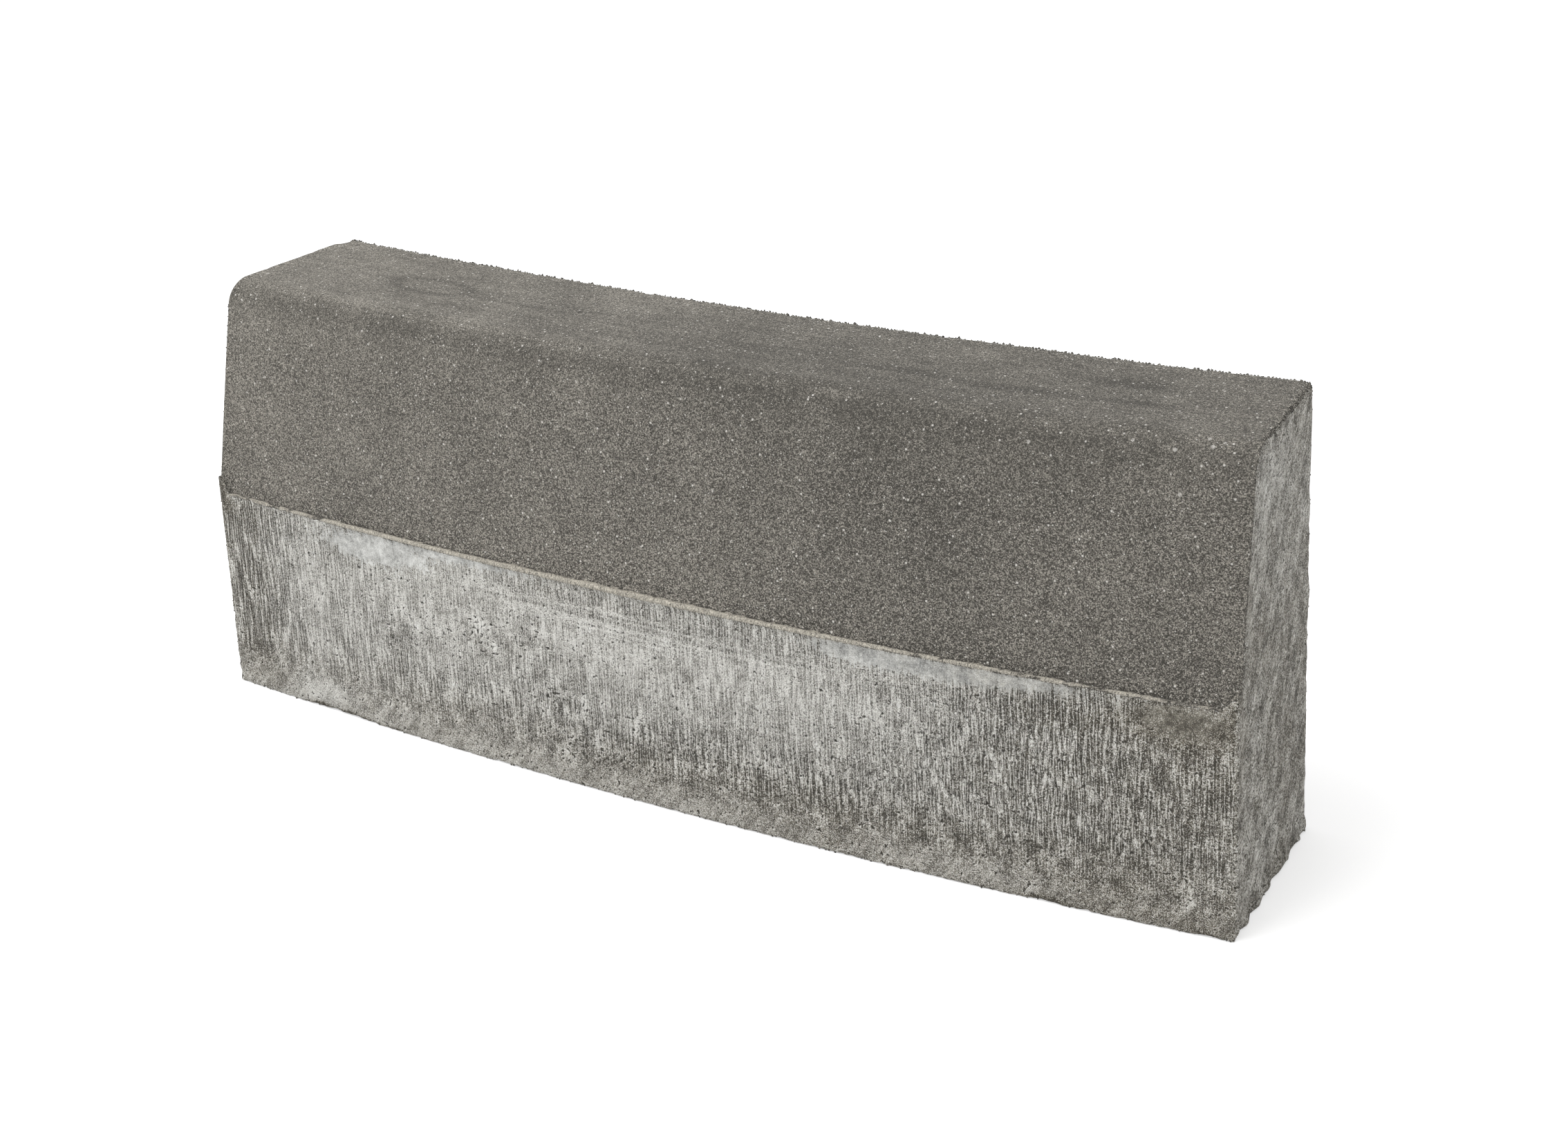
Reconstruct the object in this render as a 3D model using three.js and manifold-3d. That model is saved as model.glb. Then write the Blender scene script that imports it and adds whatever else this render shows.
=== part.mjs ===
// A curved concrete road kerb, pressed in one piece.
//
// The stone is a length of a convex bend: its front bulges towards the road, its back follows the same
// centre, and both ends are cut on radii so that stones butt together round the bend. The section is a
// plain upright foot, and above it a face that leans back to a round nose. A machine presses that face
// with a shoe that enters the mould from above. The shoe's rim leaves the narrow ledge between foot and
// face, and the rim's clipped lower corners leave the ledge turned up at both ends.
//
// Millimetres. +X runs along the chord, -Y is the road side and +Z is up. The origin is at the middle of
// the footprint's bounding box, on the bed.

import * as THREE from "three";
import { mergeVertices } from "three/addons/utils/BufferGeometryUtils.js";
import Module from "manifold-3d";

// Plan
const FACE_RADIUS = 4000; // radius of the bend, at the foot's front
const FACE_LENGTH = 780; // along the foot's front

// Section
const HEIGHT = 300;
const FOOT_WIDTH = 150;
const FOOT_HEIGHT = 150; // from the bed up to the ledge
const LEDGE_DEPTH = 2.5; // how far the face starts behind the foot's front
const TOP_WIDTH = 120; // from the back to where the face would meet the top without its nose
const NOSE_RADIUS = 20;
const BACK_ARRIS_RADIUS = 3;

// Ends of the ledge
const LEDGE_TURN_UP = 12; // rise of the ledge at each end, at 45 degrees

// Fineness of the faceted curves
const BEND_STEPS = 28;
const NOSE_STEPS = 10;
const ARRIS_STEPS = 4;

// Tools reach this far past the stone, so that no two faces of a cut coincide
const OVERCUT = 10;

const HALF_SWEEP = FACE_LENGTH / FACE_RADIUS / 2;
const BACK_RADIUS = FACE_RADIUS - FOOT_WIDTH;
const OVERALL_DEPTH = FACE_RADIUS - BACK_RADIUS * Math.cos(HALF_SWEEP);
const BEND_CENTRE_Y = FACE_RADIUS - OVERALL_DEPTH / 2;

const wasm = await Module();
wasm.setup();

// The plan line of the foot's front, from the left end to the right. Its frames turn a section drawn as
// (depth behind the front, height) upright and square to the bend.
class FrontLine extends THREE.Curve {
  constructor(halfSweep) {
    super();
    this.halfSweep = halfSweep;
  }

  angle(t) {
    return THREE.MathUtils.lerp(-this.halfSweep, this.halfSweep, t);
  }

  getPoint(t, target = new THREE.Vector3()) {
    const a = this.angle(t);
    return target.set(FACE_RADIUS * Math.sin(a), BEND_CENTRE_Y - FACE_RADIUS * Math.cos(a), 0);
  }

  computeFrenetFrames(segments) {
    const frames = { tangents: [], normals: [], binormals: [] };
    for (let i = 0; i <= segments; i++) {
      const a = this.angle(i / segments);
      frames.tangents.push(new THREE.Vector3(Math.cos(a), Math.sin(a), 0));
      frames.normals.push(new THREE.Vector3(-Math.sin(a), Math.cos(a), 0));
      frames.binormals.push(new THREE.Vector3(0, 0, 1));
    }
    return frames;
  }
}

// Points of the arc of a circle, both ends included.
function arcPoints(centre, radius, fromAngle, toAngle, steps) {
  return Array.from({ length: steps + 1 }, (_, i) => {
    const a = THREE.MathUtils.lerp(fromAngle, toAngle, i / steps);
    return new THREE.Vector2(centre.x + radius * Math.cos(a), centre.y + radius * Math.sin(a));
  });
}

// A closed three.js geometry as a solid that can be cut and joined.
function solidOf(geometry) {
  const bare = geometry.clone().deleteAttribute("normal").deleteAttribute("uv");
  const merged = mergeVertices(bare);
  return new wasm.Manifold(
    new wasm.Mesh({
      numProp: 3,
      vertProperties: merged.attributes.position.array,
      triVerts: new Uint32Array(merged.index.array),
    })
  );
}

// A solid as a three.js geometry, with flat facets.
function geometryOf(solid) {
  const { vertProperties, triVerts } = solid.getMesh();
  const indexed = new THREE.BufferGeometry()
    .setAttribute("position", new THREE.BufferAttribute(vertProperties, 3))
    .setIndex(new THREE.BufferAttribute(triVerts, 1));
  const faceted = indexed.toNonIndexed();
  faceted.computeVertexNormals();
  return faceted;
}

// A section, given as (depth, height) points, swept round the bend.
function sweep(section, halfSweep) {
  const shape = new THREE.Shape(section);
  return solidOf(
    new THREE.ExtrudeGeometry(shape, { steps: BEND_STEPS, extrudePath: new FrontLine(halfSweep) })
  );
}

// The upright block that the mould box holds before its face is pressed.
function blankSection() {
  const arrisCentre = new THREE.Vector2(FOOT_WIDTH - BACK_ARRIS_RADIUS, HEIGHT - BACK_ARRIS_RADIUS);
  return [
    new THREE.Vector2(0, 0),
    new THREE.Vector2(FOOT_WIDTH, 0),
    ...arcPoints(arrisCentre, BACK_ARRIS_RADIUS, 0, Math.PI / 2, ARRIS_STEPS),
    new THREE.Vector2(0, HEIGHT),
  ];
}

// What the shoe presses away: all that is in front of the leaning face and outside the round nose.
function shoeSection() {
  const faceFoot = new THREE.Vector2(LEDGE_DEPTH, FOOT_HEIGHT);
  const faceTop = new THREE.Vector2(FOOT_WIDTH - TOP_WIDTH, HEIGHT);
  const slope = faceTop.clone().sub(faceFoot).angle(); // of the face, from the level
  const noseCentre = new THREE.Vector2(
    faceTop.x + NOSE_RADIUS * Math.tan(slope / 2),
    HEIGHT - NOSE_RADIUS
  );
  return [
    new THREE.Vector2(-OVERCUT, FOOT_HEIGHT),
    faceFoot,
    ...arcPoints(noseCentre, NOSE_RADIUS, slope + Math.PI / 2, Math.PI / 2, NOSE_STEPS),
    new THREE.Vector2(noseCentre.x, HEIGHT + OVERCUT),
    new THREE.Vector2(-OVERCUT, HEIGHT + OVERCUT),
  ];
}

// The clipped lower corner that the shoe lacks at its right end (side = 1) or its left end (side = -1),
// drawn as (distance out past the end, height above the ledge). Its slope starts inside the stone and
// reaches the end's own plane at the full turn-up.
function shoeCorner(side) {
  const reach = LEDGE_TURN_UP + OVERCUT;
  const outline = new THREE.Shape([
    new THREE.Vector2(side * -reach, -OVERCUT),
    new THREE.Vector2(side * reach, -OVERCUT),
    new THREE.Vector2(side * reach, reach + LEDGE_TURN_UP),
  ]);
  const depth = FOOT_WIDTH + 2 * OVERCUT;
  const prism = new THREE.ExtrudeGeometry(outline, { depth, bevelEnabled: false });
  prism.rotateX(Math.PI / 2); // its drawn height turns to +Z and its length to -Y
  prism.translate(0, depth - OVERCUT, 0);
  const end = new FrontLine(HALF_SWEEP).getPoint(side > 0 ? 1 : 0);
  prism.rotateZ(side * HALF_SWEEP).translate(end.x, end.y, FOOT_HEIGHT);
  return solidOf(prism);
}

function kerbStone() {
  const overSweep = HALF_SWEEP + OVERCUT / FACE_RADIUS;
  const shoe = sweep(shoeSection(), overSweep).subtract(shoeCorner(1)).subtract(shoeCorner(-1));
  return sweep(blankSection(), HALF_SWEEP).subtract(shoe);
}

const concrete = new THREE.MeshStandardMaterial({
  name: "concrete",
  color: new THREE.Color("#8b8882"),
  roughness: 0.95,
  metalness: 0,
});

const stone = new THREE.Mesh(geometryOf(kerbStone()), concrete);
stone.name = "kerb_stone";

const kerb = new THREE.Group();
kerb.name = "kerb";
kerb.add(stone);

export default kerb;
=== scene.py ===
"""Dresses a curved concrete kerb stone: its fine surface, its finishes and a plain studio.

The stone is drawn in its own coordinates, as if the bend were straight: `along` the foot's front from
the middle to the right, `depth` behind the foot's front, and `height` above the bed. Bending comes last.
"""

import math
from collections import namedtuple

import bpy
import numpy as np
from bpy.props import FloatProperty, FloatVectorProperty, IntProperty, PointerProperty
from bpy.types import Operator, Panel, PropertyGroup
from mathutils import Euler, Matrix, Vector, noise
from mathutils.geometry import delaunay_2d_cdt


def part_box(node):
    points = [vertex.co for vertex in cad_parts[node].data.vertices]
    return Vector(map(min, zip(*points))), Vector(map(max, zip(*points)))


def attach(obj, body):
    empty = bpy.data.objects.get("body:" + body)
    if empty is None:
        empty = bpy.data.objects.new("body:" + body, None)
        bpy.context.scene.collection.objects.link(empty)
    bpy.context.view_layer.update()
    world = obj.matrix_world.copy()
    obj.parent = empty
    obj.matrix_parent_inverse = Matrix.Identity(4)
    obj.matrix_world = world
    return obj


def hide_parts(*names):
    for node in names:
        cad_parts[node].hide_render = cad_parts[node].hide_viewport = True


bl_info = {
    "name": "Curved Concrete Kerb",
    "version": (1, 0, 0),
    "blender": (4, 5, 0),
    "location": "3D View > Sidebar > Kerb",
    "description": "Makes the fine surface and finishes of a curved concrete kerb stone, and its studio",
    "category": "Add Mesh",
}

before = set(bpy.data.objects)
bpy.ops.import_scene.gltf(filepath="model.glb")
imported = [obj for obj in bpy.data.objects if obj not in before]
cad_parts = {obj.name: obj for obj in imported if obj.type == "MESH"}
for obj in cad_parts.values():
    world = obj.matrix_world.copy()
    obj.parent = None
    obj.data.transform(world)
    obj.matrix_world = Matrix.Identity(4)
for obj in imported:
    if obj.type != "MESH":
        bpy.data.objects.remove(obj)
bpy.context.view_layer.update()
NODE = "kerb_stone"
NODE_LOW, NODE_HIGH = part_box(NODE)

MM = 0.001


# Properties ----------------------------


def length(name, description, default):
    """A size in metres that a user can change."""
    return FloatProperty(name=name, description=description, default=default, unit="LENGTH", precision=4)


def colour(name, description, *default):
    """A linear colour that a user can change."""
    return FloatVectorProperty(
        name=name, description=description, default=default, size=3, subtype="COLOR", min=0, max=1
    )


def angle(name, description, degrees):
    """An angle that a user can change."""
    radians = math.radians(degrees)
    return FloatProperty(name=name, description=description, default=radians, subtype="ANGLE")


class KerbSizes(PropertyGroup):
    """The stone's section and bend."""

    front_radius: length("Bend radius", "Radius of the bend at the foot's front", 4000 * MM)
    front_length: length("Length", "Length along the foot's front", 780 * MM)
    height: length("Height", "From the bed to the top", NODE_HIGH.z - NODE_LOW.z)
    foot_width: length("Foot width", "From the foot's front to the back", 150 * MM)
    foot_height: length("Foot height", "From the bed up to the ledge", 150 * MM)
    ledge_depth: length("Ledge depth", "How far the face starts behind the foot's front", 2.5 * MM)
    ledge_turn_up: length("Ledge turn-up", "Rise of the ledge at both ends", 12 * MM)
    top_width: length("Top width", "From the back to where the face would meet the top", 120 * MM)
    nose_radius: length("Nose radius", "Radius between the face and the top", 20 * MM)
    back_arris: length("Back arris", "Radius between the top and the back", 3 * MM)
    arris: length("Arris", "Radius of every other edge", 1.1 * MM)


class KerbWear(PropertyGroup):
    """How far the real surface strays from the ideal one."""

    swell: length("Swell", "Slow waves of every face", 0.35 * MM)
    lumps: length("Lumps", "Small lumps of the stripped faces", 0.14 * MM)
    crumble: length("Crumble", "Depth lost along the arrises", 0.9 * MM)
    crumbs: length("Crumbs", "Height of the grains along the back's top arris", 1.0 * MM)
    pits: length("Pits", "Depth of the holes in the stripped faces", 0.9 * MM)
    flakes: length("Flakes", "Reach of the flakes at the right end's foot", 1.6 * MM)
    bead: length("Bead", "Height of the bead squeezed out along the ledge", 1.6 * MM)
    seed: IntProperty(name="Seed", description="Picks another stone from the same mould", default=7, min=0)


class KerbColours(PropertyGroup):
    """The colours of the concrete, in linear light."""

    pressed: colour("Pressed", "Sandy mix of the pressed face", 0.130, 0.1205, 0.1035)
    grain: colour("Grain", "Light grains of the pressed face", 0.500, 0.468, 0.408)
    fleck: colour("Fleck", "Pale flecks scattered over the pressed face", 0.760, 0.735, 0.690)
    bare: colour("Bare mix", "Stripped faces where the skin has gone", 0.145, 0.135, 0.115)
    laitance: colour("Laitance", "Pale film on the stripped faces", 0.535, 0.519, 0.474)
    vein: colour("Vein", "Ridges drawn up by the mould", 0.800, 0.790, 0.750)
    # Painted shade: holes and crevices are painted towards this near-black, which stands in for the shade
    # inside them
    pore_shade: colour("Pore", "Bottom of a hole", 0.040, 0.037, 0.031)
    skin: colour("Skin", "Smooth film below the ledge", 0.520, 0.524, 0.508)
    bead: colour("Bead", "Grout squeezed out along the ledge", 0.400, 0.372, 0.316)
    bed: colour("Bed", "Underside", 0.230, 0.222, 0.200)


class KerbStudio(PropertyGroup):
    """The camera, the sky and the lamp."""

    place: FloatVectorProperty(
        name="Camera", description="Where the camera stands", default=(0.9035, -1.3561, 0.8555), unit="LENGTH"
    )
    azimuth: angle("Azimuth", "Round from the front", 32.86)
    elevation: angle("Elevation", "Above the horizon", 18.26)
    roll: angle("Roll", "Lean of the camera", -2.855)
    lens: FloatProperty(name="Lens", description="Focal length in millimetres", default=61.17, min=1)
    shift: FloatVectorProperty(
        name="Shift", description="Shift of the frame, in frame widths", default=(0.0238, -0.16), size=2
    )
    sky: FloatProperty(name="Sky", description="Strength of the light from all round", default=0.74, min=0)
    key: FloatProperty(
        name="Key", description="Power of the large lamp overhead, in watts", default=46, min=0
    )


# Shading -------------------------------


class Value:
    """A node's output. Arithmetic on it adds the Math nodes."""

    def __init__(self, graph, socket):
        self.graph = graph
        self.socket = socket

    def math(self, operation, *others, clamp=False):
        settings = {"operation": operation, "use_clamp": clamp}
        return self.graph.node("ShaderNodeMath", settings, dict(enumerate((self, *others))))

    def __add__(self, other):
        return self.math("ADD", other)

    def __sub__(self, other):
        return self.math("SUBTRACT", other)

    def __rsub__(self, other):
        return self.graph.node("ShaderNodeMath", {"operation": "SUBTRACT"}, {0: other, 1: self})

    def __mul__(self, other):
        return self.math("MULTIPLY", other)

    def __truediv__(self, other):
        return self.math("DIVIDE", other)

    __radd__ = __add__
    __rmul__ = __mul__

    def clamped(self):
        return self.math("ADD", 0.0, clamp=True)

    def rise(self, low, high):
        """0 below low, 1 above high and smooth between. Falls instead where low is above high."""
        inputs = {"Value": self, "From Min": low, "From Max": high}
        return self.graph.node("ShaderNodeMapRange", {"interpolation_type": "SMOOTHSTEP"}, inputs)


Scales = namedtuple("Scales", "colour edge above")


class Graph:
    """The nodes of one material, or of the sky."""

    def __init__(self, owner):
        owner.use_nodes = True
        self.owner = owner
        self.tree = owner.node_tree
        self.tree.nodes.clear()

    def node(self, kind, settings=None, inputs=None, output=0):
        """A node of that type. Settings are made first, then each input gets its number, colour or link."""
        node = self.tree.nodes.new(kind)
        for name, value in (settings or {}).items():
            setattr(node, name, value)
        for key, value in (inputs or {}).items():
            if isinstance(value, Value):
                self.tree.links.new(value.socket, node.inputs[key])
            else:
                node.inputs[key].default_value = value
        return Value(self, node.outputs[output]) if node.outputs else None

    def attribute(self, name, output="Fac"):
        return self.node("ShaderNodeAttribute", {"attribute_name": name}, output=output)

    def vectors(self, operation, first, second):
        """Vector maths on two vectors."""
        return self.node("ShaderNodeVectorMath", {"operation": operation}, {0: first, 1: second})

    def stretched(self, vector, *factors):
        return self.vectors("MULTIPLY", vector, factors)

    def shifted(self, vector, *by):
        return self.vectors("ADD", vector, by)

    def warped(self, vector, size, reach):
        """The vector, pushed about by noise of that size, up to half of reach each way."""
        inputs = {"Vector": vector, "Scale": 1 / size, "Detail": 1.0}
        push = self.node("ShaderNodeTexNoise", {}, inputs, output="Color")
        centred = self.vectors("SUBTRACT", push, (0.5,) * 3)
        return self.vectors("ADD", vector, self.shaded(centred, reach))

    def noise(self, vector, size, detail=2.0, roughness=0.5):
        """Soft noise from 0 to 1, with features of that size."""
        inputs = {"Vector": vector, "Scale": 1 / size, "Detail": detail, "Roughness": roughness}
        return self.node("ShaderNodeTexNoise", {}, inputs)

    def cells(self, vector, size, output="Distance"):
        """Distance from the nearest of scattered points, in cells, or those cells' random colours."""
        return self.node("ShaderNodeTexVoronoi", {}, {"Vector": vector, "Scale": 1 / size}, output=output)

    def borders(self, vector, size):
        """Distance from the nearest border between cells of that size, in cells."""
        inputs = {"Vector": vector, "Scale": 1 / size}
        return self.node("ShaderNodeTexVoronoi", {"feature": "DISTANCE_TO_EDGE"}, inputs)

    def strands(self, vector, size, length):
        """Distance from the nearest border between tall cells on the front and the back, in cells' widths."""
        across = self.part(vector, "X") + self.part(vector, "Y") * 0.7
        flat = self.node("ShaderNodeCombineXYZ", {}, {0: across, 1: self.part(vector, "Z") * (size / length)})
        settings = {"feature": "DISTANCE_TO_EDGE", "voronoi_dimensions": "2D"}
        return self.node("ShaderNodeTexVoronoi", settings, {"Vector": flat, "Scale": 1 / size})

    def part(self, vector, axis):
        return self.node("ShaderNodeSeparateXYZ", {}, {0: vector}, output=axis)

    def pick(self, vector, size):
        """A number from 0 to 1 for each cell of that size."""
        return self.node("ShaderNodeSeparateColor", {}, {0: self.cells(vector, size, "Color")})

    def spots(self, vector, size, radius, share):
        """1 in round spots of up to that radius, in a share of the cells of that size."""
        edge = self.cells(vector, size) + self.noise(vector, radius * 1.2) * (0.5 * radius / size)
        picked = (share - self.pick(vector, size)).rise(0.0, 0.02)
        return edge.rise(1.25 * radius / size, 0.6 * radius / size) * picked

    def blob(self, vector, along, depth, height, radius):
        """1 inside one ball."""
        off = {"operation": "DISTANCE"}, {0: vector, 1: (along, depth, height)}
        return self.node("ShaderNodeVectorMath", *off, output="Value").rise(radius * 1.2, radius * 0.7)

    def shuffled(self, vector, colour, reach):
        """The vector, moved by a colour, as far as reach."""
        return self.vectors("ADD", vector, self.shaded(colour, reach))

    def scales(self, vector, size):
        """Cells of that size: their colour, the distance from their border and the height above their middle.

        Both lengths are in cells.
        """
        offset = self.vectors("SUBTRACT", vector, self.cells(vector, size, "Position"))
        above = self.part(offset, "Z") * (1 / size)
        return Scales(self.cells(vector, size, "Color"), self.borders(vector, size), above)

    def mix(self, share, first, second):
        """The first colour where share is 0, and the second where it is 1."""
        ends = [c if isinstance(c, Value) else (*c, 1.0) for c in (first, second)]
        inputs = {0: share, 6: ends[0], 7: ends[1]}
        return self.node("ShaderNodeMix", {"data_type": "RGBA"}, inputs, output=2)

    def ramp(self, level, *stops):
        """A colour for each level. The stops are pairs of level and colour, in rising order."""
        tint = stops[0][1]
        for (low, _), (high, colour) in zip(stops, stops[1:]):
            tint = self.mix(((level - low) / (high - low)).clamped(), tint, colour)
        return tint

    def shaded(self, tint, strength):
        """The colour or vector times a number."""
        return self.node("ShaderNodeVectorMath", {"operation": "SCALE"}, {0: tint, "Scale": strength})

    def concrete(self, tint, roughness, relief):
        """Finishes the material. Relief is the surface's height in millimetres."""
        normal = self.node("ShaderNodeBump", {}, {"Height": relief, "Distance": MM})
        shader = self.node(
            "ShaderNodeBsdfPrincipled", {}, {"Base Color": tint, "Roughness": roughness, "Normal": normal}
        )
        self.node("ShaderNodeOutputMaterial", {}, {"Surface": shader})
        return self.owner


# Single large grains in the pressed face, and a hole in the top, as (along, depth, height, radius) in
# millimetres. The hole is only painted shade: it darkens the colour and cuts nothing.
FLECKS = [
    (359, 40.1, 298.9, 1.2),
    (362.5, 35.2, 296.4, 1.4),
    (368.5, 38.3, 298.2, 1.0),
    (341, 31.5, 293.1, 1.3),
    (346.5, 24.3, 269, 1.3),
    (315, 33.3, 294.9, 1.1),
    (252, 28, 287.1, 1.2),
    (39, 16.5, 226.2, 1.1),
    (-379, 58, 300, 1.4),
    (-232.5, 11.2, 197.7, 0.9),
    (-233.5, 9.6, 188.8, 1.3),
    (-233.8, 8.7, 183.9, 0.8),
]
TOP_PIT_SHADE = (-115, 93, 300, 1.9)


def pressed_face(colours):
    """The dark sandy mix that the shoe pressed: the leaning face, the nose and the top."""
    g = Graph(bpy.data.materials.new("pressed face"))
    place = g.attribute("stone", "Vector")
    tone = g.attribute("tone")
    arris = g.attribute("arris")
    coarse = g.attribute("porous")
    bead = g.attribute("bead")

    sand = g.noise(place, 0.45, 1.0, 0.8) - 0.5
    grit = g.noise(place, 1.1, 2.0, 0.75) - 0.5
    grains = g.pick(place, 0.75) - 0.5
    clouds = g.noise(place, 12, 3.0, 0.6) - 0.5
    ragged = g.warped(place, 0.8, 0.9)
    flecks = g.spots(ragged, 3.0, 0.6, 0.5) + g.spots(place, 7.0, 1.0, 0.8)
    flecks = sum((g.blob(ragged, *fleck) * (0.6 + sand * 2) for fleck in FLECKS), flecks)
    # The pores are painted dark: painted shade inside small holes, which the relief does not cut
    pores = g.spots(ragged, 1.7, 0.50, 0.12 + coarse * 0.40)
    top = g.part(place, "Z").rise(290, 299.5)
    smears = (g.noise(g.stretched(g.warped(place, 40, 8.0), 0.06, 0.6, 1), 4.0, 3.0, 0.65) - 0.5) * top

    rough = 0.33 + coarse * 0.46 + arris * 0.8
    light = tone * 0.6 + (sand * 4.0 + grit * 1.15 + grains * 1.25) * rough + clouds * 0.13
    light = light - pores * (0.28 + arris * 0.5) - arris * 0.06
    light = light + smears * 0.28 - g.blob(ragged, *TOP_PIT_SHADE) * 0.5
    frayed = bead + (g.noise(g.stretched(place, 0.22, 1, 1), 1.6, 3.0, 0.7) - 0.5) * 1.2
    squeezed = frayed.rise(0.34, 0.58) * bead.rise(0.05, 0.3)
    # Painted shadow: a thin dark line round the squeezed-out bead, as if the bead shaded the face next to it
    light = light - frayed.rise(0.10, 0.40) * (1 - squeezed) * bead.rise(0.02, 0.2) * 0.36
    tint = g.ramp(light, (0.0, colours.pore_shade), (0.30, colours.pressed), (0.9, colours.grain))
    tint = g.mix((flecks * (0.65 + coarse * 0.3)).clamped(), tint, colours.fleck)
    tint = g.mix(squeezed * 0.85, tint, g.shaded(colours.bead, 1.05 + sand * 3.2 + grit * 2.4))

    relief = (sand * 0.7 + grit * 0.9 + grains * 0.25) * (0.25 + coarse * 0.6) * (1 + arris) + flecks * 0.12
    return g.concrete(tint, 0.92, relief)


def stripped_face(colours):
    """The faces that slid out of the mould: pale laitance, drawn up in veins over the bare mix."""
    g = Graph(bpy.data.materials.new("stripped face"))
    place = g.attribute("stone", "Vector")
    tone = g.attribute("tone")
    skin = g.attribute("skin")
    porous = g.attribute("porous")
    streaky = g.attribute("streaky")
    rubbed = g.attribute("rubbed")
    scaly = g.attribute("scaly")

    patches = g.noise(place, 14, 4.0, 0.65) - 0.5
    blots = g.noise(place, 3.2, 3.0, 0.6) - 0.5
    speckle = g.noise(place, 1.1, 2.0, 0.7) - 0.5
    grain = g.noise(place, 0.5, 1.0, 0.8) - 0.5
    specks = g.pick(place, 1.0) - 0.5
    plain = 1 - streaky
    slant = g.part(place, "Y") * 0.8 - g.part(place, "Z") * 0.6
    drawn_out = {0: slant + g.part(place, "X") * 0.8, 1: g.part(place, "Z") * 0.10}
    strokes = g.noise(g.node("ShaderNodeCombineXYZ", {}, drawn_out), 4.5, 3.0, 0.65) - 0.5
    calm = g.part(place, "Z").rise(26, 8) * g.part(place, "Y").rise(6, 3) * 0.5
    rough = (1.35 - tone * 0.7) * (1 - calm * 0.5) * (1 - skin * plain * 0.5)

    # The film was drawn up in long veins. Where it tore into scales, each scale has veins of its own
    # below its brow.
    wavy = g.warped(g.warped(place, 18, 1.8), 5.0, 0.5)
    scale = g.scales(g.stretched(wavy, 0.8, 0.8, 0.32), 6.0)
    torn_up = (scaly + blots * 0.9 + patches * 0.5).rise(0.30, 0.55) * streaky
    long = g.noise(g.stretched(wavy, 1, 1, 0.045), 1.5, 1.0, 0.6) - 0.5
    kinked = g.shuffled(wavy, scale.colour, 50)
    net = g.strands(wavy, 2.0, 52)
    lower = g.strands(kinked, 2.0, 36)
    between = net + (lower - net) * torn_up - long * 0.24 + speckle * 0.16
    torn = (skin + patches * 1.1 + blots * 1.5 + long * streaky * 1.6).rise(0.34, 0.66)
    bare = 1 - torn
    scraped = g.stretched(g.warped(place, 30, 3.0), 0.012, 0.012, 1)
    rub = g.noise(scraped, 3.4, 1.0, 0.5).rise(0.42, 0.62) * rubbed
    drawn_up = streaky * (1 - torn * 0.8) * (1 - rub * 0.85) * (1.27 - tone * 0.97)
    veins = between.rise(0.145, 0.05) * drawn_up
    # Painted shade: the hollows between the veins are darkened; the relief lowers them too
    shaded_valleys = between.rise(0.15, 0.25) * drawn_up
    # Painted shade in a groove along each scale's brow, and a painted highlight just below it; the relief
    # carves the groove and raises the band below it too
    brow = scale.above.rise(0.25, 0.45) * torn_up * bare
    rim = scale.edge + blots * 0.30 + speckle * 0.14
    shaded_crevice = brow * rim.rise(0.15, 0.07) * (speckle + blots * 1.4).rise(0.0, 0.10)
    lit_lip = brow * rim.rise(0.34, 0.18) * (1 - shaded_crevice)

    # Holes, single or in clusters: each is painted dark as painted shade, with a painted highlight along its
    # lower side where light from above and the left would fall
    brink = 0.628 - porous * 0.045 - patches * 0.22
    pits = (g.noise(place, 3.0, 3.0, 0.6) - brink).rise(0.0, 0.02) * bare
    # Painted highlight: the holes' mask, moved up and to the left towards the light, marks the edge below
    # each hole
    just_above = g.shifted(place, -0.5, 0, 1.0)
    pit_highlights = (g.noise(just_above, 3.0, 3.0, 0.6) - brink).rise(0.0, 0.03) * (1 - pits) * bare

    quiet = (1 - calm) * (1 - skin * plain * 0.7)
    base = tone * 0.70 + 0.105 - porous * streaky * 0.06 + strokes * plain * 0.9
    base = base + (patches * (0.90 + porous * 1.3 + plain * 0.4) + blots * (0.30 + plain * 0.45)) * quiet
    base = base + (speckle * 1.45 + specks * 0.50) * rough
    # The veins are pale film; darkening the hollows between them is painted shade
    drawn = veins * 0.56 - shaded_valleys * 0.22 - streaky * 0.07 + long * drawn_up * 0.3
    # Painted highlights below the scales' grooves and along the holes' lower sides
    light = base + grain * (3.4 - skin) + drawn + rub * 0.21 + lit_lip * 0.24 + pit_highlights * 0.26
    # Painted shade in the scales' grooves and in the holes
    light = light - shaded_crevice * 0.75 - pits * 0.85
    stops = (0.13, colours.pore_shade), (0.35, colours.bare), (0.68, colours.laitance), (0.93, colours.vein)
    cloudy = patches * 2.1 + blots * 1.2 + speckle * 0.6 + long * streaky * 0.4 + grain * 0.7
    film = g.shaded(colours.skin, 0.44 + tone * 0.74 + cloudy)
    tint = g.mix(torn * (0.22 + streaky * 0.53), g.ramp(light, *stops), film)
    earthy = (1.0 + plain * 0.45 - tone * 1.5 + patches * 1.6).clamped() * light.rise(0.80, 0.40)
    tint = g.mix(earthy, tint, g.stretched(tint, 1.03, 0.97, 0.85))

    relief = (veins * 0.30 + lit_lip * 0.30 - shaded_valleys * 0.15 + speckle * 0.45 + grain * 0.5) * (1 - torn * 0.6)
    return g.concrete(tint, 0.88, relief + blots * 0.45 - shaded_crevice * 1.0 - pits * 1.0)


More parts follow.
